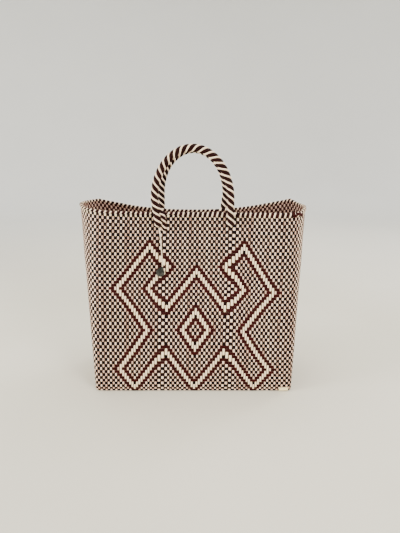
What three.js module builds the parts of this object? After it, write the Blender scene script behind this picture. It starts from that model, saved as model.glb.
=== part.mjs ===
// Market tote bag woven from flat plastic strips, standing open on its base.
// Millimetres, +Z up, front face towards -Y, origin under the middle of the base.
import * as THREE from 'three';
import { mergeVertices } from 'three/addons/utils/BufferGeometryUtils.js';

// Thicknesses and gaps
const WALL = 2.4;
const BOTTOM_BEND = 3;
const RIM_HEIGHT = 7.5;
const RIM_WIDTH = 5;
const GAP = 0.3;

// Plan of the wall at five heights, given as shares of the wall's height.
// Each plan is an eight-sided figure with soft corners. Its points lie at (0, mid), (cornerX, cornerY)
// and (side, 0), mirrored to all four quarters, and soft is how far a corner's rounding reaches.
const PLAN_ROWS = [
  { share: 0.00, mid: 70.8, cornerX: 174, cornerY: 70.8, side: 174, soft: 10 },
  { share: 0.25, mid: 66, cornerX: 177, cornerY: 70, side: 180, soft: 21 },
  { share: 0.50, mid: 59, cornerX: 177, cornerY: 69, side: 187, soft: 28 },
  { share: 0.75, mid: 50, cornerX: 176, cornerY: 68, side: 193, soft: 36 },
  { share: 1.00, mid: 41, cornerX: 170, cornerY: 67, side: 197, soft: 42 },
];
const MID_SOFT = 0.45;
const SIDE_SOFT = 0.4;

// Height of the rim round the mouth, in quarter turns from the middle of the front by way of +X.
// The rim sags from each corner to the middles beside it, steeply at first.
const RIM_PLACES = [
  { turn: 0.0, height: 314, at: 'front middle' },
  { turn: 0.8, height: 315, at: 'front right corner' },
  { turn: 1.0, height: 321, at: 'right side' },
  { turn: 1.2, height: 327.5, at: 'back right corner' },
  { turn: 2.0, height: 307, at: 'back middle' },
  { turn: 2.78, height: 327, at: 'back left corner' },
  { turn: 3.0, height: 326.5, at: 'left side' },
  { turn: 3.2, height: 323, at: 'front left corner' },
];
const SAG_POWER = 2.5;

// Handles: a rope of four strands, with two legs and an elliptical arch
const ROPE_RADIUS = 6.4;
const STRAND_DIP = 0.75;
const STRANDS = 4;
const ROPE_TURN = 22.5;
const LEG_LEFT_X = -59.8;
const LEG_RIGHT_X = 60.1;
const FOOT_LEFT_X = -54.5;
const FOOT_RIGHT_X = 61;
const FOOT_Z = 291.5;
const ARCH_Z = 335.5;
const ARCH_RISE = 78.4;
const ROPE_STEP = 2.2;
const ROPE_END = 6;

// Charm and its cord
const CORD_DIAMETER = 2;
const CORD_SIDES = 8;
const CORD_STEPS = 20;
const CHARM_RADIUS = 7;
const CHARM_EYE_RADIUS = 2.6;
const CHARM_HOLE_RADIUS = 1.3;
const CHARM_EYE_RISE = 8.2;
const CHARM_THICKNESS = 4;
const CHARM_BEVEL = 1;
const CHARM_LEAN = THREE.MathUtils.degToRad(20);

// The cord's route, from the foot of the front handle's left leg down to the eye of the charm
const CORD_ROUTE = [
  [-53.8, -61.0, 290.6],
  [-53.3, -61.2, 286.6],
  [-52.8, -61.4, 282.4],
  [-52.4, -61.6, 278.2],
  [-52.0, -61.8, 274.0],
  [-51.7, -62.0, 269.8],
  [-51.4, -62.1, 265.6],
  [-51.1, -62.2, 261.4],
  [-50.9, -62.3, 257.2],
  [-50.7, -62.4, 253.0],
  [-50.5, -62.4, 248.8],
  [-50.3, -62.4, 244.6],
  [-50.2, -62.4, 240.4],
  [-50.1, -62.4, 236.2],
  [-50.0, -62.4, 231.6],
  [-49.9, -62.4, 226.6],
];

// Fineness of the faceted surfaces: the steps along a quarter of the plan are closest at its corner
const QUARTER_STEPS = [
  { to: 0.62, steps: 6 },
  { to: 0.82, steps: 11 },
  { to: 1.00, steps: 3 },
];
const WALL_LEVELS = 8;
const BEND_STEPS = 4;
const RIM_ARC = 4;
const FACE_SAMPLES = 200;

// Materials
const woven = new THREE.MeshStandardMaterial({ color: 0x9a7c6e, roughness: 0.5, metalness: 0 });
const cream = new THREE.MeshStandardMaterial({ color: 0xefe3cb, roughness: 0.45, metalness: 0 });
const maroon = new THREE.MeshStandardMaterial({ color: 0x4a1f1a, roughness: 0.45, metalness: 0 });
const pewter = new THREE.MeshStandardMaterial({ color: 0x6b6d69, roughness: 0.4, metalness: 0.9 });

// Plan curves

function planRow(share) {
  const last = PLAN_ROWS.length - 2;
  const upper = PLAN_ROWS.findIndex((row) => row.share >= share);
  const index = upper < 0 ? last : Math.min(Math.max(upper - 1, 0), last);
  const low = PLAN_ROWS[index];
  const high = PLAN_ROWS[index + 1];
  const t = (share - low.share) / (high.share - low.share);
  const mix = (key) => THREE.MathUtils.lerp(low[key], high[key], t);
  return {
    mid: mix('mid'),
    cornerX: mix('cornerX'),
    cornerY: mix('cornerY'),
    side: mix('side'),
    soft: mix('soft'),
  };
}

// One quarter of the plan, from the middle of a long face to the middle of a side
function quarterPlan(share) {
  const row = planRow(share);
  const middle = new THREE.Vector2(0, row.mid);
  const corner = new THREE.Vector2(row.cornerX, row.cornerY);
  const side = new THREE.Vector2(row.side, 0);
  const leave = middle.clone().lerp(corner, MID_SOFT);
  const turnIn = corner.clone().lerp(middle, row.soft / corner.distanceTo(middle));
  const turnOut = corner.clone().lerp(side, row.soft / corner.distanceTo(side));
  const enter = side.clone().lerp(corner, SIDE_SOFT);
  const depth = (middle.y + leave.y) / 2;
  const reach = (side.x + enter.x) / 2;
  const path = new THREE.CurvePath();
  path.add(new THREE.QuadraticBezierCurve(
    new THREE.Vector2(0, depth), new THREE.Vector2(leave.x / 2, depth), leave));
  path.add(new THREE.LineCurve(leave, turnIn));
  path.add(new THREE.QuadraticBezierCurve(turnIn, corner, turnOut));
  path.add(new THREE.LineCurve(turnOut, enter));
  path.add(new THREE.QuadraticBezierCurve(
    enter, new THREE.Vector2(reach, enter.y / 2), new THREE.Vector2(reach, 0)));
  return path;
}

// Places round the plan in quarter turns, from the middle of the front by way of +X
function turnList() {
  const parts = [];
  let from = 0;
  QUARTER_STEPS.forEach(({ to, steps }) => {
    for (let k = 0; k < steps; k += 1) {
      parts.push(from + ((to - from) * k) / steps);
    }
    from = to;
  });
  const back = [...parts.slice(1), 1].reverse().map((part) => 2 - part);
  const half = [...parts, ...back];
  return [...half, ...half.map((turn) => turn + 2)];
}

const TURNS = turnList();

// The whole plan as one point at each of those places
function planRing(share) {
  const quarter = quarterPlan(share);
  return TURNS.map((turn) => {
    const face = Math.floor(turn);
    const part = turn - face;
    const p = quarter.getPoint(face % 2 === 0 ? part : 1 - part);
    const signX = face < 2 ? 1 : -1;
    const signY = face === 0 || face === 3 ? -1 : 1;
    return new THREE.Vector2(signX * p.x, signY * p.y);
  });
}

// The plan moved outwards by a distance
function offsetRing(ring, distance) {
  return ring.map((point, i) => {
    const before = ring[(i + ring.length - 1) % ring.length];
    const after = ring[(i + 1) % ring.length];
    const along = after.clone().sub(before).normalize();
    return new THREE.Vector2(point.x + along.y * distance, point.y - along.x * distance);
  });
}

function rimTop(turn) {
  const count = RIM_PLACES.length;
  const next = RIM_PLACES.findIndex((place) => place.turn > turn);
  const index = next < 0 ? count - 1 : next - 1;
  const start = RIM_PLACES[index];
  const end = RIM_PLACES[(index + 1) % count];
  const endTurn = next < 0 ? 4 : end.turn;
  const t = (turn - start.turn) / (endTurn - start.turn);
  const startIsMiddle = index % 2 === 0;
  const middle = startIsMiddle ? start : end;
  const corner = startIsMiddle ? end : start;
  const nearCorner = startIsMiddle ? t : 1 - t;
  return middle.height + (corner.height - middle.height) * nearCorner ** SAG_POWER;
}

// Closed surfaces from rings of points

function meshGeometry(points, triangles) {
  const geometry = new THREE.BufferGeometry().setFromPoints(points);
  geometry.setIndex(triangles);
  const merged = mergeVertices(geometry);
  merged.computeVertexNormals();
  return merged;
}

function bandTriangles(triangles, first, second, count) {
  for (let i = 0; i < count; i += 1) {
    const j = (i + 1) % count;
    triangles.push(first + i, first + j, second + j);
    triangles.push(first + i, second + j, second + i);
  }
}

// Rings joined in order, the last back to the first, as round the skin of a tyre
function loopGeometry(rings) {
  const count = rings[0].length;
  const triangles = [];
  rings.forEach((_, k) => bandTriangles(triangles, k * count, ((k + 1) % rings.length) * count, count));
  return meshGeometry(rings.flat(), triangles);
}

// Rings joined in order, with the first and last closed by a fan
function cappedGeometry(rings) {
  const count = rings[0].length;
  const points = rings.flat();
  const triangles = [];
  for (let k = 0; k + 1 < rings.length; k += 1) {
    bandTriangles(triangles, k * count, (k + 1) * count, count);
  }
  const centreOf = (ring) => ring.reduce((sum, p) => sum.add(p), new THREE.Vector3()).divideScalar(count);
  const firstCentre = points.push(centreOf(rings[0])) - 1;
  const lastCentre = points.push(centreOf(rings[rings.length - 1])) - 1;
  const lastRing = (rings.length - 1) * count;
  for (let i = 0; i < count; i += 1) {
    const j = (i + 1) % count;
    triangles.push(firstCentre, j, i);
    triangles.push(lastCentre, lastRing + i, lastRing + j);
  }
  return meshGeometry(points, triangles);
}

// Woven wall, base and rim

const WALL_FOOT = BOTTOM_BEND + WALL / 2;
const wallTop = (turn) => rimTop(turn) - RIM_HEIGHT - GAP;

function wallRing(share, distance) {
  return offsetRing(planRing(share), distance).map((p, i) => {
    const z = THREE.MathUtils.lerp(WALL_FOOT, wallTop(TURNS[i]), share);
    return new THREE.Vector3(p.x, p.y, z);
  });
}

function levelRing(distance, z) {
  return offsetRing(planRing(0), distance).map((p) => new THREE.Vector3(p.x, p.y, z));
}

// The wall's foot bends under the bag in a quarter circle and ends level with the underside
function bendRing(angle, distance) {
  const radius = BOTTOM_BEND + distance;
  return levelRing(radius * Math.sin(angle) - BOTTOM_BEND, WALL_FOOT - radius * Math.cos(angle));
}

function bodyGeometry() {
  const angles = Array.from({ length: BEND_STEPS }, (_, k) => ((Math.PI / 2) * k) / BEND_STEPS);
  const shares = Array.from({ length: WALL_LEVELS + 1 }, (_, k) => k / WALL_LEVELS);
  const skin = (distance) => [
    ...angles.map((angle) => bendRing(angle, distance)),
    ...shares.map((share) => wallRing(share, distance)),
  ];
  return loopGeometry([...skin(WALL / 2), ...skin(-WALL / 2).reverse()]);
}

function baseGeometry() {
  const reach = -BOTTOM_BEND - GAP;
  return cappedGeometry([levelRing(reach, 0), levelRing(reach, WALL)]);
}

// The rim's section is a band with a rounded top, given as distance out from the wall and height
function rimSection() {
  const half = RIM_WIDTH / 2;
  const section = [[half, 0]];
  for (let k = 0; k <= RIM_ARC; k += 1) {
    const angle = (Math.PI * k) / RIM_ARC;
    section.push([half * Math.cos(angle), RIM_HEIGHT - half + half * Math.sin(angle)]);
  }
  section.push([-half, 0]);
  return section;
}

function rimGeometry() {
  const plan = planRing(1);
  const rings = rimSection().map(([distance, height]) => offsetRing(plan, distance).map((p, i) => (
    new THREE.Vector3(p.x, p.y, rimTop(TURNS[i]) - RIM_HEIGHT + height)
  )));
  return loopGeometry(rings);
}

// Rope handles

// Depth of the wall's middle surface at a distance from the middle of the front
function faceDepth(x, share) {
  const points = quarterPlan(share).getSpacedPoints(FACE_SAMPLES);
  return points.find((p) => p.x >= x).y;
}

// A leg stands against whichever is further out, the wall beside its foot or the rim above
const FOOT_SHARE = (FOOT_Z - WALL_FOOT) / (wallTop(0) - WALL_FOOT);
const LEG_DEPTH = Math.max(
  faceDepth(FOOT_RIGHT_X, FOOT_SHARE) + WALL / 2,
  faceDepth(FOOT_RIGHT_X, 1) + RIM_WIDTH / 2,
);
const HANDLE_Y = -(LEG_DEPTH + GAP + ROPE_RADIUS);

function handlePath() {
  const leftTop = new THREE.Vector2(LEG_LEFT_X, ARCH_Z);
  const rightTop = new THREE.Vector2(LEG_RIGHT_X, ARCH_Z);
  const middle = (LEG_LEFT_X + LEG_RIGHT_X) / 2;
  const path = new THREE.CurvePath();
  path.add(new THREE.LineCurve(new THREE.Vector2(FOOT_LEFT_X, FOOT_Z), leftTop));
  path.add(new THREE.EllipseCurve(middle, ARCH_Z, LEG_RIGHT_X - middle, ARCH_RISE, Math.PI, 0, true));
  path.add(new THREE.LineCurve(rightTop, new THREE.Vector2(FOOT_RIGHT_X, FOOT_Z)));
  return path;
}

// Thickness of the rope at a distance from its nearer end, as a share of the full radius
function ropeShare(distance) {
  const missing = Math.max(0, 1 - distance / ROPE_END);
  return Math.sqrt(1 - 0.9 * missing * missing);
}

function ropeGeometry() {
  const path = handlePath();
  const length = path.getLength();
  const sides = STRANDS * 2;
  const ends = [0, ROPE_END * 0.3];
  const distances = [...ends];
  const steps = Math.round((length - 2 * ROPE_END) / ROPE_STEP);
  for (let k = 0; k <= steps; k += 1) {
    distances.push(ROPE_END + ((length - 2 * ROPE_END) * k) / steps);
  }
  distances.push(...ends.map((d) => length - d).reverse());
  const rings = distances.map((d) => {
    const p = path.getPoint(d / length);
    const along = path.getTangent(Math.min(Math.max(d / length, 0.001), 0.999));
    const thick = ropeShare(Math.min(d, length - d));
    const ring = [];
    for (let i = 0; i < sides; i += 1) {
      const angle = 2 * Math.PI * (i / sides - d / ROPE_TURN);
      const radius = thick * (ROPE_RADIUS - (i % 2) * STRAND_DIP);
      const across = radius * Math.cos(angle);
      ring.push(new THREE.Vector3(
        p.x + along.y * across, HANDLE_Y + radius * Math.sin(angle), p.y - along.x * across));
    }
    return ring;
  });
  return cappedGeometry(rings);
}

// Charm and cord

function charmGeometry() {
  const shape = new THREE.Shape();
  const lean = Math.asin((CHARM_RADIUS - CHARM_EYE_RADIUS) / CHARM_EYE_RISE);
  shape.absarc(0, 0, CHARM_RADIUS - CHARM_BEVEL, Math.PI - lean, 2 * Math.PI + lean, false);
  shape.absarc(0, CHARM_EYE_RISE, CHARM_EYE_RADIUS - CHARM_BEVEL, lean, Math.PI - lean, false);
  shape.closePath();
  const hole = new THREE.Path();
  hole.absarc(0, CHARM_EYE_RISE, CHARM_HOLE_RADIUS, 0, 2 * Math.PI, true);
  shape.holes.push(hole);
  const geometry = new THREE.ExtrudeGeometry(shape, {
    depth: CHARM_THICKNESS - 2 * CHARM_BEVEL,
    bevelSize: CHARM_BEVEL,
    bevelThickness: CHARM_BEVEL,
    bevelSegments: 1,
    curveSegments: 7,
  });
  geometry.translate(0, 0, CHARM_BEVEL - CHARM_THICKNESS / 2);
  return geometry;
}

function cordGeometry() {
  const route = new THREE.CatmullRomCurve3(CORD_ROUTE.map((p) => new THREE.Vector3(...p)));
  const section = new THREE.Shape();
  for (let i = 0; i < CORD_SIDES; i += 1) {
    const angle = (2 * Math.PI * i) / CORD_SIDES;
    const x = (CORD_DIAMETER / 2) * Math.cos(angle);
    const y = (CORD_DIAMETER / 2) * Math.sin(angle);
    if (i === 0) {
      section.moveTo(x, y);
    } else {
      section.lineTo(x, y);
    }
  }
  section.closePath();
  return new THREE.ExtrudeGeometry(section, { steps: CORD_STEPS, extrudePath: route });
}

// Assembly

function addMesh(parent, name, geometry, material) {
  const mesh = new THREE.Mesh(geometry, material);
  mesh.name = name;
  parent.add(mesh);
  return mesh;
}

const bag = new THREE.Group();
addMesh(bag, 'body', bodyGeometry(), woven);
addMesh(bag, 'base', baseGeometry(), cream);
addMesh(bag, 'rim', rimGeometry(), cream);
addMesh(bag, 'handle_front', ropeGeometry(), maroon);
const handleBack = addMesh(bag, 'handle_back', ropeGeometry(), maroon);
handleBack.rotation.z = Math.PI;
addMesh(bag, 'charm_cord', cordGeometry(), cream);

// The charm hangs from its eye, leaning a little
const cordEnd = new THREE.Vector3(...CORD_ROUTE[CORD_ROUTE.length - 1]);
const drop = GAP + CHARM_EYE_RADIUS + CHARM_EYE_RISE;
const charm = addMesh(bag, 'charm', charmGeometry(), pewter);
charm.rotation.set(Math.PI / 2, 0, -CHARM_LEAN);
charm.position.copy(cordEnd);
charm.position.x -= drop * Math.sin(CHARM_LEAN);
charm.position.z -= drop * Math.cos(CHARM_LEAN);

export default bag;
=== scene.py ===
# Strip-woven market tote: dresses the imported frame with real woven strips, rope handles and a charm.
import math
from collections import namedtuple

import bmesh
import bpy
import numpy as np
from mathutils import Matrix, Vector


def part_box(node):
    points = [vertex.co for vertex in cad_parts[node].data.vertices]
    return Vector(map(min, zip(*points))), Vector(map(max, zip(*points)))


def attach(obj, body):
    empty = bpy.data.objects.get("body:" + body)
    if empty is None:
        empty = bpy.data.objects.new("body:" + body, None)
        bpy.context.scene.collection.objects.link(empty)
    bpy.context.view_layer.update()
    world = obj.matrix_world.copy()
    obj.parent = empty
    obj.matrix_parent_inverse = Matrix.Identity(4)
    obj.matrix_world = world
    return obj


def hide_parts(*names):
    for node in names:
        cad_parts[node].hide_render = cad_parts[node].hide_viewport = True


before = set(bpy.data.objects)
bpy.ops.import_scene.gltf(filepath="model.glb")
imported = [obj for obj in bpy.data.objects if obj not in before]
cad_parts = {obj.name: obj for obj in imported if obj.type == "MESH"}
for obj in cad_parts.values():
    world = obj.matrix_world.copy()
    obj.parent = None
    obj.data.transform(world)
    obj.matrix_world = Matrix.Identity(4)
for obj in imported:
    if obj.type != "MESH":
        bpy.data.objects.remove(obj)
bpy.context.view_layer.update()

MM = 0.001
RNG = np.random.default_rng(41)

# Camera, as the photograph was taken
IMAGE_WIDTH = 400
FOCAL_PIXELS = 393.0
SENSOR_WIDTH = 36.0
CLIP_START = 0.01
CAMERA_PLACE = (0.0118, -0.686, 0.3974)
CAMERA_PITCH = 15.3

# Plan of the wall at five heights: share of the height, mid, corner x, corner y, side, soft, in millimetres
PLAN = np.array([
    (0.00, 70.8, 174, 70.8, 174, 10),
    (0.25, 66, 177, 70, 180, 21),
    (0.50, 59, 177, 69, 187, 28),
    (0.75, 50, 176, 68, 193, 36),
    (1.00, 41, 170, 67, 197, 42),
])
MID_SOFT = 0.45
SIDE_SOFT = 0.4
CURVE_POINTS = 60
QUARTER_STEPS = 240
PLAN_LEVELS = 81

# Rim height round the mouth: quarter turns from the middle of the front by way of +X, millimetres
RIM_PLACES = (
    (0.0, 314), (0.8, 315), (1.0, 321), (1.2, 327.5),
    (2.0, 307), (2.78, 327), (3.0, 326.5), (3.2, 323),
)
RIM_SAG_POWER = 2.5
RIM_HEIGHT = 7.5

# Clearance, thickness of the wall and its bend into the base, in millimetres
GAP = 0.3
WALL = 2.4
FOOT = 8.2
BEND = 1.8
STRAIGHT = FOOT - BEND - WALL / 2
BEND_PITCH = 3.6

# Weave: rows counted upwards, columns counted from the middle of the front
FIRST_ROW = -3
SPLIT_ROW = 25
LAST_ROW = 54
QUARTER = 56
COLUMNS = 4 * QUARTER
ROW_PLACES = (
    (-0.5, 0.0), (3, 0.061), (11, 0.214), (18, 0.357),
    (25, 0.498), (38, 0.726), (53.6, 1.0), (54.6, 1.0175),
)
COLUMN_PLACES = ((0, 0.0), (12, 0.207), (15, 0.2845), (29.5, 0.527), (56, 1.0))
QUARTER_LENGTH = 238.0
WARP_LENGTH = 320
WEFT_LENGTH = 950

# Slack: columns drift to the right up the wall, and the weave hangs near the right front corner
DRIFT_LOW = 1.2
DRIFT_RISE = 7.3
ROW_DIP = 6.3
COLUMN_PULL = 3.0
HANG_RISE = (8, 32)
HANG_FALL = (50, 84)
HANG_POWER = 1.3

# Motif outlines in (column, row), right half of each; the left half is the mirror image
FIGURE = (
    (0, -0.5), (12, 11.5), (24, -0.5), (30.5, 6), (18.5, 18), (31.5, 31),
    (18, 44.5), (11.5, 38), (18.5, 31), (12, 24.5), (0, 36.5),
)
DIAMOND = ((0, 12.5), (5.5, 18), (0, 23.5))
BAND_LIMITS = (-2, 0, 2)

# Strip sections: place across the strip in pitches, and height in millimetres
WARP_ACROSS = np.array((-0.385, -0.29, 0.29, 0.385, 0.33, -0.33))
WEFT_ACROSS = np.array((-0.485, -0.38, 0.38, 0.485, 0.41, -0.41))
STRIP_LIFT = np.array((-0.10, 0.38, 0.38, -0.10, -0.40, -0.40))
# The material paints shade on these sides: the strip's two edges, and the two underneath that face into the
# bag
STRIP_EDGES = (0, 3)
STRIP_INNER = (4, 5)
STRIP_PITCH = 4
STRIP_TONES = (0.1, 0.9)
STRIP_STARTS = (0, 50)

# Crimp: levels of a strip on single cells and on floats, its flat in a cell, its width on single cells
CRIMP = 0.66
SINGLE_LEVEL = 0.92
FLOAT_LEVEL = 1.12
WARP_FLAT = 0.25
WEFT_FLAT = 0.36
WARP_SINGLE = 0.94
WEFT_SINGLE = 1.12

# Rim: a wrap's path over the edge and the core under it, as (outward, height) in millimetres
RIM_PATH = np.array((
    (1.75, 0.4), (2.2, 2.0), (2.35, 3.7), (2.15, 5.3), (1.35, 6.7), (0.0, 7.3),
    (-1.35, 6.7), (-2.1, 5.4), (-2.05, 4.2), (-1.65, 3.5),
))
RIM_CREST = 7.3
RIM_CORE = np.array((
    (1.5, 3.6), (1.75, 4.4), (1.65, 5.4), (1.05, 6.3), (0.0, 6.75), (-1.05, 6.3),
    (-1.65, 5.4), (-1.6, 4.4), (-1.25, 4.3), (-1.15, 5.3), (1.15, 5.3), (1.25, 3.6),
))
RIM_CORE_STEP = 0.5
RIM_ACROSS = np.array((-0.47, -0.28, 0.28, 0.47, 0.36, -0.36))
RIM_LIFT = np.array((-0.05, 0.36, 0.36, -0.05, -0.30, -0.30))
RIM_COLOURS = (("cream", 0, 0.70), ("dark", 1, 1.30))
RIM_SLANT = 0.5
RIM_JITTER = 0.18
RIM_WRAP_LENGTH = 18

# Left of the front, the wraps end higher: how much, between which columns, and below which height
SHORTER = 3.9
SHORTER_START = -5
SHORTER_RAMP = 5
SHORTER_LAST = -70
SHORTER_BELOW = 6

# Strip ends tucked over the rim: route as (column, outward, height), and width
RIM_ENDS = (
    (((37.4, 2.6, 9.4), (37.3, 3.3, 6.0), (37.5, 3.4, 3.0), (38.0, 3.0, 0.4)), 5.2),
    (((38.2, 3.5, 1.6), (39.0, 3.7, 4.8), (40.2, 3.7, 4.8), (41.6, 3.5, 2.4), (42.6, 3.0, -0.8)), 5.0),
)
RIM_END_POINTS = 24
RIM_END_LENGTH = 20

# Handles: each colour of strand with its first place and its share of the width; a strand's section
STRANDS = 4
ROPE_COLOURS = (("dark", 0, 1.36), ("cream", 1, 0.64))
STRAND_TURN = np.array((-0.97, -0.86, -0.66, -0.4, -0.13, 0.13, 0.4, 0.66, 0.86, 0.97, 0.8, 0.0, -0.8))
STRAND_RADIUS = np.array((4.5, 5.2, 5.8, 6.15, 6.3, 6.3, 6.15, 5.8, 5.2, 4.5, 2.6, 2.6, 2.6))
STRAND_ACROSS = 0.5 * STRAND_TURN
ROPE_TURN = 22.5
ROPE_STEP = 1.6
ROPE_END = 6.0
ROPE_END_STEPS = np.array((0.0, 0.8, 2.2, 4.0))
ROPE_END_TAPER = 0.9
ROPE_LOOK = 1.5

# Line of a handle in (x, z), in millimetres
LEG_LEFT_X = -59.8
LEG_RIGHT_X = 60.1
FOOT_LEFT_X = -54.5
FOOT_RIGHT_X = 61.0
FOOT_Z = 291.5
ARCH_Z = 335.5
ARCH_RISE = 78.4
ARCH_POINTS = 400
LEG_POINTS = 80

# Wound tail beside the left leg of the front handle
TAIL_ROUTE = (
    (-57.0, -60.0, 326.0), (-52.4, -59.5, 318.0), (-48.6, -58.4, 309.0),
    (-47.0, -57.2, 300.0), (-46.4, -55.2, 292.5), (-46.0, -49.5, 286.0),
)
TAIL_POINTS = 40
TAIL_TURN = 21
TAIL_START = 0.18
TAIL_THICK = 0.74

# Base: counts and lengths of its strips, their inset, crimp, clearance and thickness
BASE_LONG_COUNT = 28
BASE_LONG_LENGTH = 330
BASE_CROSS_COUNT = 78
BASE_CROSS_LENGTH = 120
BASE_INSET = 0.9
BASE_CRIMP = 0.5
BASE_CLEAR = 0.05
BASE_THICK = 0.85

# Patch at the right front foot: its columns, then the row and outward place of each strip
FOOT_PATCH = (34.9, 38.5)
FOOT_PATCH_ROWS = np.array(((-0.95, 1.7), (-1.75, 1.7), (-2.55, 0.7)))
FOOT_PATCH_POINTS = 21
FOOT_PATCH_LENGTH = 30

# Cord route and section, in millimetres
CORD_ROUTE = (
    (-53.8, -61.0, 290.6), (-53.3, -61.2, 286.6), (-52.8, -61.4, 282.4), (-52.4, -61.6, 278.2),
    (-52.0, -61.8, 274.0), (-51.7, -62.0, 269.8), (-51.4, -62.1, 265.6), (-51.1, -62.2, 261.4),
    (-50.9, -62.3, 257.2), (-50.7, -62.4, 253.0), (-50.5, -62.4, 248.8), (-50.3, -62.4, 244.6),
    (-50.2, -62.4, 240.4), (-50.1, -62.4, 236.2), (-50.0, -62.4, 231.6), (-49.9, -62.4, 226.6),
)
CORD_DIAMETER = 2.0
CORD_POINTS = 120
CORD_SIDES = 16
CORD_PLIES = 2
CORD_PLY_DEPTH = 0.06
CORD_TWIST_POINTS = 14
CORD_TURN_PER_PITCH = 6
CORD_GRAIN = 60

# Charm, in millimetres: outline, then layers of half its thickness as (share of the outline, place)
CHARM_RADIUS = 7.0
CHARM_EYE = 2.6
CHARM_RISE = 8.2
CHARM_LEAN = math.radians(20)
CHARM_DISC_POINTS = 40
CHARM_EYE_POINTS = 14
CHARM_HALF = ((0.2, 1.75), (0.42, 1.5), (0.58, 1.0), (0.7, 1.15), (0.8, 1.85), (0.9, 1.85), (0.97, 1.2))

# Strip plastic: scales of its draw lines and clouds, shares of its shade, spread of its roughness
DRAW_SCALE = (2600.0, 26.0, 1.0)
DRAW_DEPTH = 0.0002
CLOUD_SCALE = (60.0, 18.0, 1.0)
TONE_SHARE = 0.25
CLOUD_SHARE = 0.25
# Floats are painted lighter and strips that show for one cell darker: painted light on raised floats, painted
# shade in recesses
BARE_SHARE = 0.5
SMOOTHER = 0.06
ROUGHER = 0.08

# Stage, in metres: a round floor that curves up into a wall, and where its tint changes; the paler far floor
# and wall are painted light
FLOOR_RINGS = (0.001, 0.5, 1.2, 2.4)
FLOOR_Z = -0.0004
SWEEP_RADIUS = 1.2
SWEEP_ANGLES = np.linspace(0.15, math.pi / 2, 10)
STAGE_TOP = 4.0
STAGE_TURNS = 96
TINT_START = 0.5
TINT_LENGTH = 2.2

# Light: the room's colour and strength, then name, place, target, size, spread, power and colour of each lamp
WORLD_COLOUR = (0.95, 0.95, 0.93, 1)
WORLD_STRENGTH = 0.76
LIGHTS = (
    ("window_key", (-2.25, -0.65, 0.5), (0, 0, 0.22), (0.9, 0.6), 60, 12, (1.0, 0.985, 0.96)),
    ("ceiling", (0, 0.2, 2.6), (0, 0.2, 0), (2.4, 2.4), 180, 95, (1.0, 0.99, 0.97)),
    ("room_fill", (1.1, -1.4, 0.7), (0, 0, 0.15), (0.7, 0.7), 80, 8.6, (1.0, 0.98, 0.95)),
    ("back_fill", (2.2, 1.5, 1.2), (0, 0, 0.2), (0.8, 0.8), 80, 7, (1.0, 0.98, 0.95)),
)


# Lines and curves

def unit(vectors):
    """The same vectors with length one."""
    return vectors / np.linalg.norm(vectors, axis=-1, keepdims=True)


def distances(line):
    """Distance of each point of a line from its start."""
    return np.concatenate([[0], np.cumsum(np.linalg.norm(np.diff(line, axis=0), axis=1))])


def points_at(line, length, distance):
    """Points at given distances along a line whose own distances are known."""
    return np.column_stack([np.interp(distance, length, part) for part in line.T])


def smooth_step(x):
    x = np.clip(x, 0, 1)
    return x * x * (3 - 2 * x)


def smooth_route(points, count):
    """Catmull-Rom line through the points."""
    p = np.asarray(points, dtype=float)
    p = np.vstack([2 * p[0] - p[1], p, 2 * p[-1] - p[-2]])
    line = []
    for t in np.linspace(0, len(p) - 3 - 1e-9, count):
        k = int(t)
        f = t - k
        a, b, c, d = p[k:k + 4]
        square, cube = 2 * a - 5 * b + 4 * c - d, 3 * b - a - 3 * c + d
        line.append(0.5 * (2 * b + (c - a) * f + square * f ** 2 + cube * f ** 3))
    return np.array(line)


def square_to(line):
    """Two directions at each point of a hanging line, square to it and to each other."""
    along = unit(np.gradient(line, axis=0))
    across = unit(np.cross(along, (0, 1, 0)))
    return across, np.cross(along, across)


# Meshes

def add_mesh(name, points, faces, material):
    """Smooth mesh object, from points in millimetres."""
    mesh = bpy.data.meshes.new(name)
    mesh.from_pydata((np.asarray(points) * MM).tolist(), [], faces)
    mesh.materials.append(material)
    work = bmesh.new()
    work.from_mesh(mesh)
    bmesh.ops.recalc_face_normals(work, faces=work.faces)
    work.to_mesh(mesh)
    work.free()
    mesh.polygons.foreach_set("use_smooth", [True] * len(mesh.polygons))
    obj = bpy.data.objects.new(name, mesh)
    bpy.context.collection.objects.link(obj)
    return obj


def dress(obj, node):
    """Puts a piece on the root body, in place of a CAD solid."""
    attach(obj, "root")
    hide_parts(node)
    return obj


def strip_faces(count, steps, sides, closed=False):
    """Faces of equal strips, each a ring of sides at every step; open strips get caps."""
    start = np.arange(count)[:, None, None] * steps * sides
    step = np.arange(steps if closed else steps - 1)[None, :, None]
    side = np.arange(sides)[None, None, :]
    after = (side + 1) % sides
    ahead = (step + 1) % steps
    corners = [start + step * sides + side, start + step * sides + after,
               start + ahead * sides + after, start + ahead * sides + side]
    faces = np.stack(np.broadcast_arrays(*corners), axis=-1).reshape(-1, 4).tolist()
    if not closed:
        for k in range(count):
            first = k * steps * sides
            last = first + (steps - 1) * sides
            faces.append([first + j for j in range(sides)])
            faces.append([last + j for j in range(sides)])
    return faces


def add_values(obj, name, values, kind="FLOAT"):
    """A value at every point, for a material to read."""
    layer = obj.data.attributes.new(name, kind, "POINT")
    field = "value" if kind == "FLOAT" else "vector"
    layer.data.foreach_set(field, np.asarray(values, dtype=np.float32).ravel())


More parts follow.
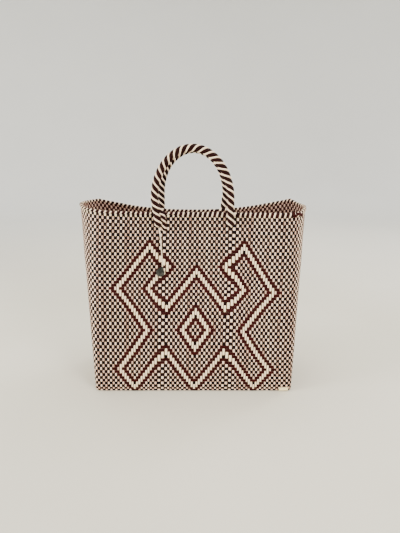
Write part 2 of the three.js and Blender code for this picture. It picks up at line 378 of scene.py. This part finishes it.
def add_strip_values(obj, shape, across, length, bare=0.5, edges=(), inner=()):
    """Each strip's own tone, how bare it lies, and the place across and along it in metres.

    The length may be rounded, because only the grain of the material follows it.
    """
    count, steps, sides = shape
    add_values(obj, "bare", np.broadcast_to(bare, shape))
    # The edge and inner marks tell the material where to paint shade
    for layer, places in (("edge", edges), ("inner", inner)):
        add_values(obj, layer, np.broadcast_to(np.isin(np.arange(sides), places), shape))
    tone = np.repeat(RNG.uniform(*STRIP_TONES, count), steps * sides)
    place = np.zeros((*shape, 3))
    place[..., 0] = across * MM * STRIP_PITCH
    place[..., 1] = np.linspace(0, length, steps)[None, :, None] * MM
    place[..., 1] += RNG.uniform(*STRIP_STARTS, count)[:, None, None]
    place[..., 2] = np.arange(count)[:, None, None]
    add_values(obj, "tone", tone)
    add_values(obj, "strip", place, "FLOAT_VECTOR")


def add_strips(name, points, finish, node, across, length, closed=False, **values):
    """A piece of equal strips, from points by strip, step along it and side of its section."""
    shape = points.shape[:3]
    obj = add_mesh(name, points.reshape(-1, 3), strip_faces(*shape, closed), finish.material)
    add_strip_values(obj, shape, across, length, **values)
    return dress(obj, node)


# Materials

class Nodes:
    """A short way to write a node material."""

    MIX_INPUTS = (0, 6, 7)  # factor and both colours of a colour mix
    MIX_RESULT = 2

    def __init__(self, name):
        self.material = bpy.data.materials.new(name)
        self.material.use_nodes = True
        self.tree = self.material.node_tree
        self.shader = self.tree.nodes["Principled BSDF"]

    def add(self, kind, inputs=None, **settings):
        node = self.tree.nodes.new(kind)
        for key, value in settings.items():
            setattr(node, key, value)
        for key, value in (inputs or {}).items():
            self.put(node.inputs[key], value)
        return node

    def put(self, socket, value):
        if isinstance(value, bpy.types.NodeSocket):
            self.tree.links.new(value, socket)
        else:
            socket.default_value = value

    def shade(self, **inputs):
        for key, value in inputs.items():
            self.put(self.shader.inputs[key.replace("_", " ")], value)

    def value(self, name):
        return self.add("ShaderNodeAttribute", attribute_name=name).outputs["Fac"]

    def vector(self, name):
        return self.add("ShaderNodeAttribute", attribute_name=name).outputs["Vector"]

    def place(self):
        return self.add("ShaderNodeTexCoord").outputs["Object"]

    def noise(self, vector, scale, detail):
        node = self.add("ShaderNodeTexNoise", {"Vector": vector, "Scale": scale, "Detail": detail})
        return node.outputs["Fac"]

    def ramp(self, factor, stops):
        node = self.add("ShaderNodeValToRGB", {"Fac": factor})
        elements = node.color_ramp.elements
        while len(elements) < len(stops):
            elements.new(0.5)
        for element, (place, colour) in zip(elements, stops):
            element.position = place
            element.color = (*colour, 1)
        return node.outputs["Color"]

    def spread(self, value, low, high):
        node = self.add("ShaderNodeMapRange", {"Value": value, "To Min": low, "To Max": high})
        return node.outputs["Result"]

    def scaled(self, vector, scale):
        return self.add("ShaderNodeMapping", {"Vector": vector, "Scale": scale}).outputs["Vector"]

    def bump(self, height, strength, distance):
        node = self.add("ShaderNodeBump", {"Height": height, "Strength": strength, "Distance": distance})
        return node.outputs["Normal"]

    def blend(self, factor, a, b, share):
        node = self.add("ShaderNodeMix", data_type="RGBA")
        colours = [c if isinstance(c, bpy.types.NodeSocket) else (*c, 1) for c in (a, b)]
        for socket, value in zip(self.MIX_INPUTS, (self.math("MULTIPLY", factor, share), *colours)):
            self.put(node.inputs[socket], value)
        return node.outputs[self.MIX_RESULT]

    def math(self, operation, a, b):
        node = self.add("ShaderNodeMath", operation=operation)
        self.put(node.inputs[0], a)
        self.put(node.inputs[1], b)
        return node.outputs["Value"]


def strip_plastic(name, shades, inner, edge_shade, roughness, streak, gloss):
    """Extruded plastic strip: a tone for each strip, painted shade on its edges, fine draw lines along it."""
    n = Nodes(name)
    place = n.vector("strip")
    lines = n.noise(n.scaled(place, DRAW_SCALE), scale=1.0, detail=3.0)
    cloud = n.noise(n.scaled(place, CLOUD_SCALE), scale=1.0, detail=2.0)
    tone = n.math("MULTIPLY", n.value("tone"), TONE_SHARE)
    own = n.math("ADD", tone, n.math("MULTIPLY", cloud, CLOUD_SHARE))
    # How bare a strip lies moves it along the ramp: painted light on floats, painted shade on low single
    # cells
    mixed = n.math("ADD", own, n.math("MULTIPLY", n.value("bare"), BARE_SHARE))
    # Edges blend towards the first, darkest shade: painted shade where the strip's edges curve down into the
    # weave
    colour = n.blend(n.value("edge"), n.ramp(mixed, shades), shades[0][1], edge_shade)
    # The face turned into the bag takes the darker inner colour: painted shade inside the bag
    n.shade(Base_Color=n.blend(n.value("inner"), colour, inner, share=1.0))
    n.shade(Roughness=n.spread(lines, roughness - SMOOTHER, roughness + ROUGHER))
    n.shade(Normal=n.bump(lines, streak, DRAW_DEPTH), Specular_IOR_Level=gloss)
    return n.material


def thread_material():
    n = Nodes("cord_thread")
    fibre = n.noise(n.scaled(n.vector("strip"), (900.0, 900.0, 1.0)), scale=1.0, detail=4.0)
    n.shade(Base_Color=n.ramp(fibre, [(0.3, (0.50, 0.38, 0.25)), (0.7, (0.80, 0.67, 0.49))]))
    n.shade(Roughness=0.75, Normal=n.bump(fibre, strength=0.5, distance=0.0003))
    return n.material


def pewter_material():
    n = Nodes("dull_pewter")
    place = n.place()
    pits = n.noise(place, scale=900.0, detail=5.0)
    stain = n.noise(place, scale=160.0, detail=3.0)
    n.shade(Base_Color=n.ramp(stain, [(0.35, (0.014, 0.015, 0.013)), (0.7, (0.06, 0.06, 0.053))]))
    n.shade(Metallic=0.9, Roughness=n.spread(pits, low=0.32, high=0.6))
    n.shade(Normal=n.bump(pits, strength=0.35, distance=0.0006))
    return n.material


def floor_material():
    n = Nodes("pale_floor")
    cloud = n.noise(n.place(), scale=3.0, detail=3.0)
    low = n.ramp(cloud, [(0.3, (0.62, 0.58, 0.47)), (0.7, (0.65, 0.61, 0.50))])
    high = n.ramp(cloud, [(0.3, (0.90, 0.895, 0.86)), (0.7, (0.92, 0.915, 0.88))])
    # Paler further out and up the wall: painted light on the far stage
    n.shade(Base_Color=n.blend(n.value("rise"), low, high, share=1.0), Roughness=0.85)
    return n.material


Finish = namedtuple("Finish", "material slot")
# In each finish the first shade, also used on the strip's edges, and the inner colour are painted shade
CREAM = Finish(strip_plastic(
    "cream_strip_plastic",
    shades=[(0.1, (0.42, 0.22, 0.15)), (0.3, (0.88, 0.63, 0.46)), (0.85, (0.95, 0.76, 0.48))],
    inner=(0.50, 0.30, 0.22), edge_shade=0.7, roughness=0.42, streak=0.25, gloss=0.35), "cream_strip")
DARK = Finish(strip_plastic(
    "dark_strip_plastic",
    shades=[(0.1, (0.002, 0.0005, 0.0004)), (0.4, (0.007, 0.0009, 0.0007)), (0.85, (0.028, 0.0024, 0.002))],
    inner=(0.018, 0.003, 0.002), edge_shade=0.25, roughness=0.55, streak=0.2, gloss=0.06), "dark_strip")
AGED = Finish(strip_plastic(
    "aged_cream_strip_plastic",
    shades=[(0.1, (0.50, 0.36, 0.17)), (0.3, (0.80, 0.62, 0.32)), (0.85, (0.93, 0.78, 0.42))],
    inner=(0.50, 0.36, 0.20), edge_shade=0.4, roughness=0.45, streak=0.25, gloss=0.3), "cream_strip")
THREAD = Finish(thread_material(), "cord_thread")
PEWTER = Finish(pewter_material(), "pewter")
STRIP_FINISHES = {"cream": CREAM, "dark": DARK}


# Wall surface

def quarter_points(share):
    """Plan of a quarter of the wall at a share of the height, from the middle of a face to a side."""
    mid, corner_x, corner_y, side, soft = (np.interp(share, PLAN[:, 0], PLAN[:, k]) for k in range(1, 6))
    middle = np.array((0.0, mid))
    corner = np.array((corner_x, corner_y))
    end = np.array((side, 0.0))
    leave = middle + (corner - middle) * MID_SOFT
    turn_in = corner + unit(middle - corner) * soft
    turn_out = corner + unit(end - corner) * soft
    enter = end + (corner - end) * SIDE_SOFT
    depth = (middle[1] + leave[1]) / 2
    reach = (end[0] + enter[0]) / 2
    t = np.linspace(0, 1, CURVE_POINTS)[:, None]

    def bend(a, b, c):
        return (1 - t) ** 2 * np.array(a) + 2 * t * (1 - t) * np.array(b) + t * t * np.array(c)

    curve = np.vstack([
        bend((0, depth), (leave[0] / 2, depth), leave),
        leave + (turn_in - leave) * t,
        bend(turn_in, corner, turn_out),
        turn_out + (enter - turn_out) * t,
        bend(enter, (reach, enter[1] / 2), (reach, 0)),
    ])
    length = distances(curve)
    return points_at(curve, length, np.linspace(0, length[-1], QUARTER_STEPS + 1))


def plan_ring(share):
    """Plan of the whole wall, from the middle of the front by way of +X."""
    q = quarter_points(share)
    return np.vstack([q[:-1] * (1, -1), q[:0:-1] * (1, 1), q[:-1] * (-1, 1), q[:0:-1] * (-1, -1)])


GRID = np.stack([plan_ring(share) for share in np.linspace(0, 1, PLAN_LEVELS)])
GRID_TURNS = GRID.shape[1]
ALONG = np.roll(GRID, -1, axis=1) - np.roll(GRID, 1, axis=1)
OUTWARD = unit(np.stack([ALONG[..., 1], -ALONG[..., 0]], axis=-1))


def rim_height(turn):
    """Height of the rim's top, level near the middle of each face and side and steep near the corners."""
    starts = [place[0] for place in RIM_PLACES]
    index = max(k for k, start in enumerate(starts) if start <= turn)
    start, start_height = RIM_PLACES[index]
    end, end_height = RIM_PLACES[(index + 1) % len(RIM_PLACES)]
    t = (turn - start) / ((end if end > start else 4) - start)
    if index % 2 == 0:
        return start_height + (end_height - start_height) * t ** RIM_SAG_POWER
    return end_height + (start_height - end_height) * (1 - t) ** RIM_SAG_POWER


RIM_TABLE = np.array([rim_height(4 * k / GRID_TURNS) for k in range(GRID_TURNS + 1)])


def rim_top(turn):
    return np.interp(np.mod(turn, 4) * GRID_TURNS / 4, np.arange(GRID_TURNS + 1), RIM_TABLE)


def plan_at(turn, share):
    """Plan point and outward direction at a turn and a share of the height."""
    s = np.clip(share, 0, 1) * (PLAN_LEVELS - 1)
    low = np.minimum(s.astype(int), PLAN_LEVELS - 2)
    s = (s - low)[..., None]
    t = np.mod(turn, 4) * GRID_TURNS / 4
    left = t.astype(int)
    t = (t - left)[..., None]
    left %= GRID_TURNS
    right = (left + 1) % GRID_TURNS

    def mix(table):
        below = table[low, left] * (1 - t) + table[low, right] * t
        above = table[low + 1, left] * (1 - t) + table[low + 1, right] * t
        return below * (1 - s) + above * s

    return mix(GRID), unit(mix(OUTWARD))


def centred(column):
    """The same column counted from the middle of the front, to either side."""
    return np.mod(column + 2 * QUARTER, COLUMNS) - 2 * QUARTER


def row_share(row):
    rows, shares = zip(*ROW_PLACES)
    return np.interp(row, rows, shares)


def hang(column, share):
    """How far the weave hangs near the right front corner: 0 to 1, most at half height."""
    rise = smooth_step((column - HANG_RISE[0]) / (HANG_RISE[1] - HANG_RISE[0]))
    fall = smooth_step((HANG_FALL[1] - column) / (HANG_FALL[1] - HANG_FALL[0]))
    return rise * fall * np.sin(np.pi * np.clip(share, 0, 1)) ** HANG_POWER


def column_turn(column, share):
    """Quarter turns from the middle of the front at a column."""
    places, parts = zip(*COLUMN_PLACES)
    column = centred(column)
    size = np.abs(column)
    near = np.interp(size, places, parts)
    far = 2 - np.interp(2 * QUARTER - size, places, parts)
    part = np.where(size <= QUARTER, near, far)
    shift = DRIFT_LOW + DRIFT_RISE * share - COLUMN_PULL * hang(column, share)
    return np.sign(column) * part + shift / QUARTER_LENGTH


def wall_point(column, row, out):
    """Point of the wall in millimetres, at a column and row, moved outwards."""
    column, row, out = np.broadcast_arrays(column, row, out)
    share = row_share(row)
    turn = column_turn(column, share)
    plan, outward = plan_at(turn, share)
    top = rim_top(turn) - RIM_HEIGHT - GAP
    z = FOOT + share * (top - FOOT) - ROW_DIP * hang(centred(column), share)
    below = np.maximum(0, ROW_PLACES[0][0] - row) * BEND_PITCH
    bent = np.maximum(0, below - STRAIGHT)
    angle = np.minimum(bent / BEND, math.pi / 2)
    inset = BEND * (1 - np.cos(angle)) + (bent - BEND * angle)
    flat = plan + outward * (out * np.cos(angle) - inset)[..., None]
    z = z - np.minimum(below, STRAIGHT) - (BEND + out) * np.sin(angle)
    return np.concatenate([flat, z[..., None]], axis=-1)


# Weave chart

def outline_samples(half):
    """Corners of a closed outline, and points every half step along it."""
    loop = list(half) + [(-c, r) for c, r in reversed(half) if c > 0]
    points = []
    for (c0, r0), (c1, r1) in zip(loop, loop[1:] + loop[:1]):
        steps = int(round(2 * abs(c1 - c0)))
        points += [(c0 + (c1 - c0) * k / steps, r0 + (r1 - r0) * k / steps) for k in range(steps)]
    return np.array(loop), np.array(points)


def signed_steps(half, column, row):
    """Steps from an outline over the grid, positive inside it."""
    loop, points = outline_samples(half)
    near = np.full(column.shape, np.inf)
    for c, r in points:
        near = np.minimum(near, np.abs(column - c) + np.abs(row - r))
    inside = np.zeros(column.shape, dtype=bool)
    for (c0, r0), (c1, r1) in zip(loop, np.roll(loop, -1, axis=0)):
        crosses = (r0 > row) != (r1 > row)
        level = np.where(crosses, (row - r0) / (r1 - r0 if r1 != r0 else 1.0), 0)
        inside ^= crosses & (column < c0 + (c1 - c0) * level)
    return np.where(inside, near, -near)


def chart():
    """True where a cream strip lies on top, by column and row."""
    column, row = np.meshgrid(np.arange(COLUMNS), np.arange(FIRST_ROW, LAST_ROW + 1), indexing="ij")
    face = np.mod(column + QUARTER, 2 * QUARTER) - QUARTER
    dark = np.mod(face + row, 2) == 1
    for half in (FIGURE, DIAMOND):
        steps = signed_steps(half, face.astype(float), row.astype(float))
        for limit in BAND_LIMITS:
            dark ^= steps > limit
    return ~dark


CREAM_TOP = chart()


# Woven wall

def crimp_levels(over, closed):
    """Level of a strip at both ends of its flat in every cell, -1 below to 1 above; floats lie higher."""
    level = np.where(over, 1.0, -1.0)
    ahead = np.roll(level, -1, axis=1)
    back = np.roll(level, 1, axis=1)
    if not closed:
        ahead[:, -1] = level[:, -1]
        back[:, 0] = level[:, 0]
    single = (ahead != level) & (back != level)
    return np.repeat(level * np.where(single, SINGLE_LEVEL, FLOAT_LEVEL), 2, axis=1)


def flat_ends(cells, half):
    """Places of both ends of the flat in every cell."""
    return (np.asarray(cells)[:, None] + np.array((-half, half))).ravel()


def bareness(levels):
    """From 0 on a strip that shows for one cell to 1 on one that lies bare over several."""
    return np.clip((levels - SINGLE_LEVEL) / (FLOAT_LEVEL - SINGLE_LEVEL), 0, 1)[:, :, None]


def wide_at(levels, single):
    """Width of a strip as a share of its full width, where single is the share on single cells."""
    return single + (1 - single) * bareness(levels)


def add_warps(name, columns):
    """Upright cream strips."""
    columns = np.asarray(columns)
    flats = flat_ends(range(FIRST_ROW, LAST_ROW + 1), WARP_FLAT)
    rows = np.concatenate([[FIRST_ROW - 0.5], flats, [LAST_ROW + 0.5]])
    levels = crimp_levels(CREAM_TOP, closed=False)[columns % COLUMNS]
    levels = np.pad(levels, ((0, 0), (1, 1)), mode="edge")
    points = wall_point(
        columns[:, None, None] + wide_at(levels, WARP_SINGLE) * WARP_ACROSS,
        rows[None, :, None],
        CRIMP * levels[:, :, None] + STRIP_LIFT)
    add_strips(name, points, CREAM, "body", WARP_ACROSS, WARP_LENGTH,
               bare=bareness(levels), edges=STRIP_EDGES, inner=STRIP_INNER)


def add_wefts(name, rows):
    """Dark strips that run round the wall."""
    rows = np.asarray(rows)
    columns = flat_ends(range(COLUMNS), WEFT_FLAT)
    levels = crimp_levels(~CREAM_TOP.T, closed=True)[rows - FIRST_ROW]
    points = wall_point(
        columns[None, :, None],
        rows[:, None, None] + wide_at(levels, WEFT_SINGLE) * WEFT_ACROSS,
        CRIMP * levels[:, :, None] + STRIP_LIFT)
    add_strips(name, points, DARK, "body", WEFT_ACROSS, WEFT_LENGTH, closed=True,
               bare=bareness(levels), edges=STRIP_EDGES, inner=STRIP_INNER)


# Rim of slanted strips folded over the edge

def rim_point(column, out, height):
    """Point of the rim in millimetres, at a column, moved outwards and up from the rim's foot."""
    column, out, height = np.broadcast_arrays(column, out, height)
    share = np.ones(column.shape)
    turn = column_turn(column, share)
    plan, outward = plan_at(turn, share)
    flat = plan + outward * out[..., None]
    return np.concatenate([flat, (rim_top(turn) - RIM_HEIGHT + height)[..., None]], axis=-1)


def wrap_lean():
    """How far a wrap leans to the side along its path, in columns."""
    lean = RIM_SLANT * (np.clip(RIM_PATH[:, 1], 0, RIM_CREST) / RIM_CREST - 0.5)
    return np.where(RIM_PATH[:, 0] >= 0, lean, RIM_SLANT - lean)


def wrap_rise(columns):
    """How much higher the wraps end outside, on the left of the front."""
    column = centred(columns)
    left = np.clip((SHORTER_START - column) / SHORTER_RAMP, 0, 1) * (column > SHORTER_LAST)
    low = np.clip(1 - RIM_PATH[:, 1] / SHORTER_BELOW, 0, 1) * (RIM_PATH[:, 0] > 0)
    return SHORTER * left[:, None, None] * low[None, :, None]


def add_rim(name, finish, first, wide):
    """The rim's wraps of one colour, on every second column."""
    columns = np.arange(first, COLUMNS, len(RIM_COLOURS), dtype=float)
    tangent = unit(np.gradient(RIM_PATH, axis=0))
    normal = np.column_stack([tangent[:, 1], -tangent[:, 0]])
    jitter = RNG.uniform(-RIM_JITTER, RIM_JITTER, len(columns))[:, None, None]
    section = RIM_PATH[None, :, None] + normal[None, :, None] * (RIM_LIFT + jitter)[..., None]
    points = rim_point(
        columns[:, None, None] + wrap_lean()[None, :, None] + wide * RIM_ACROSS,
        section[..., 0],
        section[..., 1] + wrap_rise(columns))
    add_strips(name, points, finish, "rim", RIM_ACROSS, RIM_WRAP_LENGTH)


def add_rim_core():
    """The dark edge that shows between the wraps."""
    columns = np.arange(0, COLUMNS, RIM_CORE_STEP)
    points = rim_point(columns[:, None], RIM_CORE[:, 0], RIM_CORE[:, 1])
    across = np.linspace(-0.5, 0.5, len(RIM_CORE))
    add_strips("rim_core", points[None], DARK, "rim", across, WEFT_LENGTH, closed=True)


def add_rim_ends():
    """Dark strip ends tucked over the rim at the right front corner."""
    strips = []
    for route, wide in RIM_ENDS:
        line = smooth_route(route, RIM_END_POINTS)
        middle = rim_point(*line.T)
        outward = rim_point(line[:, 0], line[:, 1] + 1, line[:, 2]) - middle
        side = np.cross(unit(np.gradient(middle, axis=0)), outward)
        strips.append(middle[:, None] + wide * WEFT_ACROSS[:, None] * side[:, None]
                      + STRIP_LIFT[:, None] * outward[:, None])
    add_strips("rim_ends", np.array(strips), DARK, "rim", WEFT_ACROSS, RIM_END_LENGTH,
               bare=1.0, edges=STRIP_EDGES)


# Rope handles

def handle_path():
    """Points and directions along the rope, as (x, z), with the distance from the left foot."""
    middle = (LEG_LEFT_X + LEG_RIGHT_X) / 2
    angle = np.linspace(math.pi, 0, ARCH_POINTS)
    arch = np.column_stack([
        middle + (LEG_RIGHT_X - middle) * np.cos(angle), ARCH_Z + ARCH_RISE * np.sin(angle)])
    left = np.linspace((FOOT_LEFT_X, FOOT_Z), arch[0], LEG_POINTS)[:-1]
    right = np.linspace(arch[-1], (FOOT_RIGHT_X, FOOT_Z), LEG_POINTS)[1:]
    line = np.vstack([left, arch, right])
    length = distances(line)
    total = length[-1]
    inner = np.linspace(ROPE_END, total - ROPE_END, int((total - 2 * ROPE_END) / ROPE_STEP))
    distance = np.concatenate([ROPE_END_STEPS, inner, total - ROPE_END_STEPS[::-1]])
    ahead = points_at(line, length, np.minimum(distance + ROPE_LOOK, total))
    back = points_at(line, length, np.maximum(distance - ROPE_LOOK, 0))
    return points_at(line, length, distance), unit(ahead - back), distance, total


def strand_angles(first, wide, distance, turn, start=0.0):
    """Angle round a rope for strands of one colour, by strand, step along the rope and side."""
    strands = np.arange(first, STRANDS, len(ROPE_COLOURS))[:, None, None] / STRANDS
    across = wide * STRAND_TURN / (2 * STRANDS)
    return 2 * math.pi * (strands + across + start - distance[None, :, None] / turn)


def add_handle(name, node, finish, first, wide, is_back):
    """The strands of one colour in a handle; the back handle is the front one turned round."""
    low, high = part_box("handle_front")
    depth = (low[1] + high[1]) / 2 / MM
    place, along, distance, total = handle_path()
    missing = np.maximum(0, 1 - np.minimum(distance, total - distance) / ROPE_END)
    thick = np.sqrt(1 - ROPE_END_TAPER * missing ** 2)
    angle = strand_angles(first, wide, distance, ROPE_TURN)
    radius = STRAND_RADIUS * thick[:, None]
    across = radius * np.cos(angle)
    points = np.stack([
        place[:, None, 0] + along[:, None, 1] * across,
        depth + radius * np.sin(angle),
        place[:, None, 1] - along[:, None, 0] * across], axis=-1)
    if is_back:
        points = points * (-1, -1, 1)
    add_strips(name, points, finish, node, STRAND_ACROSS, total)


def add_tail(name, finish, first, wide):
    """The end of the front handle's winding, beside its left leg and tucked into the weave."""
    line = smooth_route(TAIL_ROUTE, TAIL_POINTS)
    across, outward = square_to(line)
    distance = distances(line)
    angle = strand_angles(first, wide, distance, TAIL_TURN, TAIL_START)[..., None]
    radius = TAIL_THICK * STRAND_RADIUS[:, None]
    points = (line[:, None] + across[:, None] * radius * np.cos(angle)
              + outward[:, None] * radius * np.sin(angle))
    add_strips(name, points, finish, "handle_front", STRAND_ACROSS, distance[-1])


# Base of cream strips

def base_strips(count, cells, pitch, reach, lift):
    """Places across and along parallel strips and their heights, where lift is 1 or -1 for the two sets."""
    centre = (np.arange(count) - (count - 1) / 2) * pitch
    along = np.linspace(-reach, reach, 2 * cells + 1)
    cell = (np.arange(2 * cells + 1) + 1) // 2
    over = np.where((np.arange(count)[:, None] + cell) % 2 == 0, 1.0, -1.0)
    over[:, 0::2] = 0
    level = BASE_CRIMP * over * lift
    side = centre[:, None, None] + pitch * WARP_ACROSS
    height = WALL / 2 + BASE_CLEAR + level[:, :, None] + STRIP_LIFT * BASE_THICK
    return np.broadcast_arrays(side, along[None, :, None], height)


def add_base():
    """The bottom panel, in a plain weave of long and cross strips."""
    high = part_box("base")[1]
    half_x = high[0] / MM - BASE_INSET
    half_y = high[1] / MM - BASE_INSET
    pitch = 2 * half_y / BASE_LONG_COUNT
    side, along, height = base_strips(BASE_LONG_COUNT, BASE_CROSS_COUNT, pitch, half_x, 1)
    points = np.stack([along, side, height], axis=-1)
    add_strips("base_long", points, CREAM, "base", WARP_ACROSS, BASE_LONG_LENGTH)
    pitch = 2 * half_x / BASE_CROSS_COUNT
    side, along, height = base_strips(BASE_CROSS_COUNT, BASE_LONG_COUNT, pitch, half_y, -1)
    points = np.stack([side, along, height], axis=-1)
    add_strips("base_cross", points, CREAM, "base", WARP_ACROSS, BASE_CROSS_LENGTH)


def add_foot_patch():
    """Cream strips folded up over the weave at the right front corner of the base."""
    columns = np.linspace(*FOOT_PATCH, FOOT_PATCH_POINTS)
    rows, out = FOOT_PATCH_ROWS.T[:, :, None, None]
    points = wall_point(columns[None, :, None], rows + WARP_ACROSS, out + STRIP_LIFT)
    add_strips("foot_patch", points, AGED, "body", WARP_ACROSS, FOOT_PATCH_LENGTH,
               bare=1.0, edges=STRIP_EDGES)


# Charm and cord

def charm_outline():
    """A disc and, above it, a small eye, joined by straight sides."""
    lean = math.asin((CHARM_RADIUS - CHARM_EYE) / CHARM_RISE)
    low = np.linspace(math.pi - lean, 2 * math.pi + lean, CHARM_DISC_POINTS)
    high = np.linspace(lean, math.pi - lean, CHARM_EYE_POINTS)[1:-1]
    return np.vstack([
        np.column_stack([CHARM_RADIUS * np.cos(low), CHARM_RADIUS * np.sin(low)]),
        np.column_stack([CHARM_EYE * np.cos(high), CHARM_RISE + CHARM_EYE * np.sin(high)])])


def add_charm():
    """The metal drop, dished on both faces, that leans below the end of its cord."""
    outline = charm_outline()
    layers = [(share, -place) for share, place in CHARM_HALF] + [(1.0, 0.0), *CHARM_HALF[::-1]]
    points = np.array([[(x * share, y * share, place) for x, y in outline] for share, place in layers])
    sine, cosine = math.sin(CHARM_LEAN), math.cos(CHARM_LEAN)
    drop = GAP + CHARM_EYE + CHARM_RISE
    centre = np.array(CORD_ROUTE[-1]) - drop * np.array((sine, 0, cosine))
    x = points[..., 0] * cosine + points[..., 1] * sine
    z = -points[..., 0] * sine + points[..., 1] * cosine
    placed = np.stack([x, -points[..., 2], z], axis=-1) + centre
    faces = strip_faces(1, len(layers), len(outline))
    obj = add_mesh("charm_drop", placed.reshape(-1, 3), faces, PEWTER.material)
    return dress(obj, "charm")


def add_cord(charm):
    """The twisted thread from the foot of the front handle to the charm."""
    line = smooth_route(CORD_ROUTE, CORD_POINTS)
    across, outward = square_to(line)
    turn = 2 * math.pi * np.arange(CORD_SIDES) / CORD_SIDES
    radius = CORD_DIAMETER / 2 * (1 - CORD_PLY_DEPTH + CORD_PLY_DEPTH * np.cos(CORD_PLIES * turn))
    twist = 2 * math.pi * np.arange(CORD_POINTS) / CORD_TWIST_POINTS
    angle = turn + twist[:, None]
    points = (line[:, None] + across[:, None] * (radius * np.cos(angle))[..., None]
              + outward[:, None] * (radius * np.sin(angle))[..., None])
    around = turn / CORD_TURN_PER_PITCH
    obj = add_strips("charm_thread", points[None], THREAD, "charm_cord", around, CORD_GRAIN)


# Camera, stage and light

def add_camera():
    data = bpy.data.cameras.new("photo_camera")
    data.sensor_fit = "HORIZONTAL"
    data.sensor_width = SENSOR_WIDTH
    data.lens = SENSOR_WIDTH * FOCAL_PIXELS / IMAGE_WIDTH
    data.clip_start = CLIP_START
    camera = bpy.data.objects.new("photo_camera", data)
    camera.location = CAMERA_PLACE
    camera.rotation_euler = (math.radians(90 - CAMERA_PITCH), 0, 0)
    bpy.context.collection.objects.link(camera)
    bpy.context.scene.camera = camera


def add_stage():
    """A round floor that sweeps up into a wall on all sides, a little paler away from the bag as painted
    light.
    """
    edge = FLOOR_RINGS[-1]
    rings = [(r, 0.0) for r in FLOOR_RINGS]
    rings += [(edge + SWEEP_RADIUS * math.sin(a), SWEEP_RADIUS * (1 - math.cos(a))) for a in SWEEP_ANGLES]
    rings.append((edge + SWEEP_RADIUS, STAGE_TOP))
    turn = np.linspace(0, 2 * math.pi, STAGE_TURNS + 1)[:-1]
    points = np.array([[(r * math.cos(t), r * math.sin(t), z + FLOOR_Z) for t in turn] for r, z in rings])
    faces = strip_faces(1, len(rings), STAGE_TURNS)[:-2]
    faces.append(list(range(STAGE_TURNS)))
    floor = add_mesh("floor_sweep", points.reshape(-1, 3) / MM, faces, floor_material())
    rise = [min(1.0, max(0.0, (r - TINT_START) / TINT_LENGTH)) for r, z in rings]
    add_values(floor, "rise", np.repeat(rise, STAGE_TURNS))


def add_world():
    world = bpy.data.worlds.new("soft_room")
    world.use_nodes = True
    background = world.node_tree.nodes["Background"]
    background.inputs["Color"].default_value = WORLD_COLOUR
    background.inputs["Strength"].default_value = WORLD_STRENGTH
    bpy.context.scene.world = world


def add_light(name, place, target, size, spread, power, colour):
    """Area light aimed at a target, with its beam spread in degrees."""
    data = bpy.data.lights.new(name, "AREA")
    data.shape = "RECTANGLE"
    data.size, data.size_y = size
    data.spread = math.radians(spread)
    data.energy = power
    data.color = colour
    light = bpy.data.objects.new(name, data)
    light.location = place
    direction = np.array(target) - np.array(place)
    yaw = math.atan2(direction[0], -direction[1])
    pitch = math.atan2(math.hypot(direction[0], direction[1]), -direction[2])
    light.rotation_euler = (pitch, 0, math.pi + yaw)
    bpy.context.collection.objects.link(light)


# Build; the order matters, because each piece draws from the same random numbers

add_camera()
add_warps("warp_front", range(-QUARTER, QUARTER))
add_warps("warp_back", range(QUARTER, 3 * QUARTER))
add_wefts("weft_low", range(FIRST_ROW, SPLIT_ROW))
add_wefts("weft_high", range(SPLIT_ROW, LAST_ROW + 1))
for colour, first, wide in RIM_COLOURS:
    add_rim(f"rim_{colour}", STRIP_FINISHES[colour], first, wide)
add_rim_core()
add_rim_ends()
for node, is_back in (("handle_front", False), ("handle_back", True)):
    for colour, first, wide in ROPE_COLOURS:
        add_handle(f"{node}_{colour}", node, STRIP_FINISHES[colour], first, wide, is_back)
for colour, first, wide in ROPE_COLOURS:
    add_tail(f"handle_tail_{colour}", STRIP_FINISHES[colour], first, wide)
add_base()
add_foot_patch()
add_cord(add_charm())
add_stage()
add_world()
for light in LIGHTS:
    add_light(*light)
